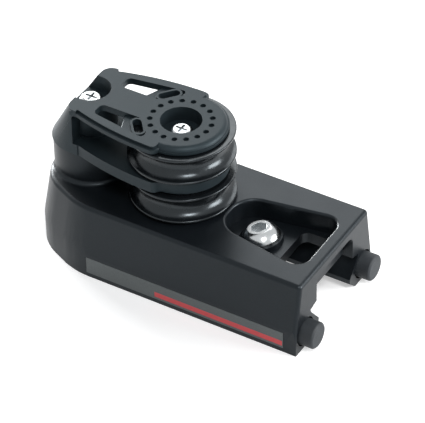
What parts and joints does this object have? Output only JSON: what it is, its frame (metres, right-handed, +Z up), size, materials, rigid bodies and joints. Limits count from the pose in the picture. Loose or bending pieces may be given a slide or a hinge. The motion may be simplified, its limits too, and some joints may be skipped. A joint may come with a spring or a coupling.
{
  "type": "traveler end control",
  "caption": "Low body that caps the end of a traveller track, with two stacked ball bearing sheaves under a cheek plate, a tilted clamp bolt in a pocket and rubber bumpers.",
  "frame": {"origin": "middle of the bounding box's underside, level with the underside of the legs", "axes": "+X along the track towards the bumpers, Y across the body with the label on -Y, +Z up along the sheave axis"},
  "size_m": [0.1788, 0.081, 0.0911],
  "materials": {
    "black_aluminium": "black anodised, satin with a fine grain",
    "sheave_black": "black anodised, satin gloss",
    "nylon": "black moulded plastic, matte",
    "stainless": "polished",
    "black_rubber": "matte",
    "acetal": "smooth",
    "label_film": "satin film with a red stripe"
  },
  "bodies": {
    "frame": {"base_casting": "black_aluminium", "bumper_near": "black_rubber", "bumper_far": "black_rubber", "side_label": "label_film", "lower_hub": "acetal", "upper_hub": "acetal", "hub_washer_lower": "acetal", "centre_post": "stainless", "deck_washer": "stainless", "head_insert": "stainless", "head_washer": "stainless", "centre_screw": "stainless", "head_screw": "stainless", "deck_screw": "stainless", "track_clamp_bolt": "stainless", "middle_plate": "nylon", "top_cheek": "nylon"},
    "lower_sheave": {"lower_sheave": "sheave_black"},
    "upper_sheave": {"upper_sheave": "sheave_black"},
    "lower_ball_row": {"lower_bearing_balls": "acetal"},
    "upper_ball_row": {"upper_bearing_balls": "acetal"}
  },
  "joints": [
    {"name": "lower_sheave_spin", "type": "hinge", "parent": "frame", "child": "lower_sheave", "pos_m": [-0.00935, 0, 0.0529], "axis": [0, 0, 1], "continuous": true},
    {"name": "upper_sheave_spin", "type": "hinge", "parent": "frame", "child": "upper_sheave", "pos_m": [-0.00935, 0, 0.0787], "axis": [0, 0, 1], "continuous": true},
    {"name": "lower_balls_orbit", "type": "hinge", "parent": "frame", "child": "lower_ball_row", "pos_m": [-0.00935, 0, 0.0529], "axis": [0, 0, 1], "continuous": true},
    {"name": "upper_balls_orbit", "type": "hinge", "parent": "frame", "child": "upper_ball_row", "pos_m": [-0.00935, 0, 0.0787], "axis": [0, 0, 1], "continuous": true}
  ],
  "couplings": [
    {"joint": "lower_balls_orbit", "follows": "lower_sheave_spin", "ratio": 0.5818},
    {"joint": "upper_balls_orbit", "follows": "upper_sheave_spin", "ratio": 0.5818}
  ]
}
